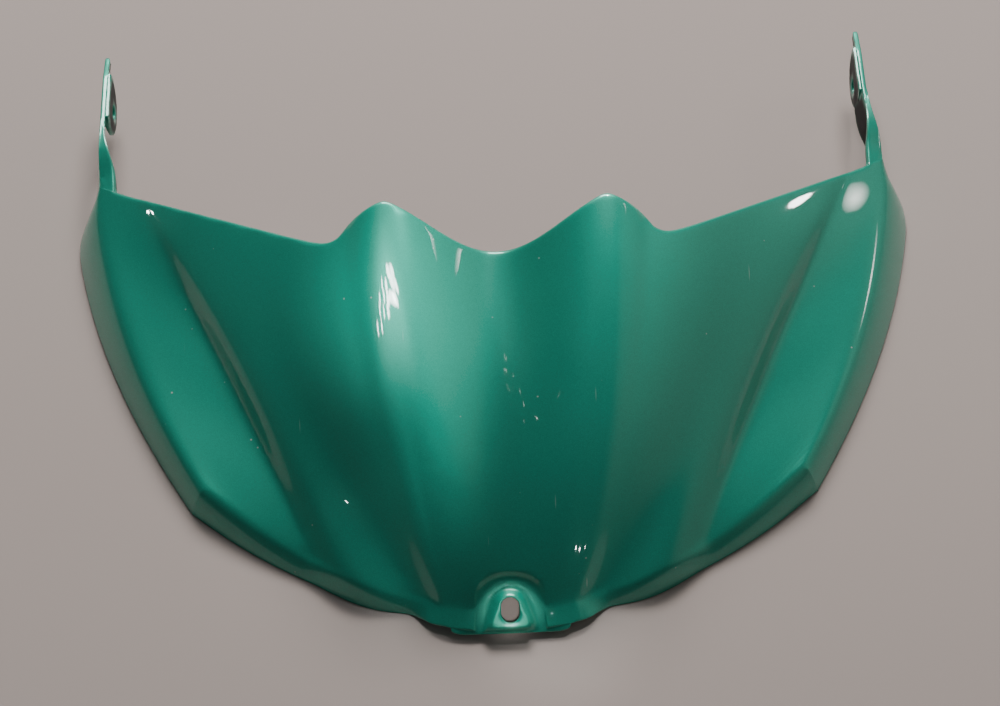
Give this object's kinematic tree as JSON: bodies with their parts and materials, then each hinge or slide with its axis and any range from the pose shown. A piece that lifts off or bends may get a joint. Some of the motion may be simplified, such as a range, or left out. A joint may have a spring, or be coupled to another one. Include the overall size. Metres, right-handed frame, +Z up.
{
  "type": "motorcycle tank front cover",
  "caption": "Gloss green motorcycle fairing panel: ridged centre panel, scooped wings, front fixing pad and two rear mounting arms.",
  "frame": {"origin": "on the surface the cover lies on, under the middle of its overall box", "axes": "+X to the cover's right seen from behind, +Y rearwards from nose to arms, +Z up as it lies, outer side up"},
  "size_m": [0.398, 0.3, 0.103],
  "materials": {
    "paint": "metallic green paint under clear lacquer over injection-moulded plastic"
  },
  "bodies": {
    "root": {"tank_cover": "paint"}
  },
  "joints": []
}
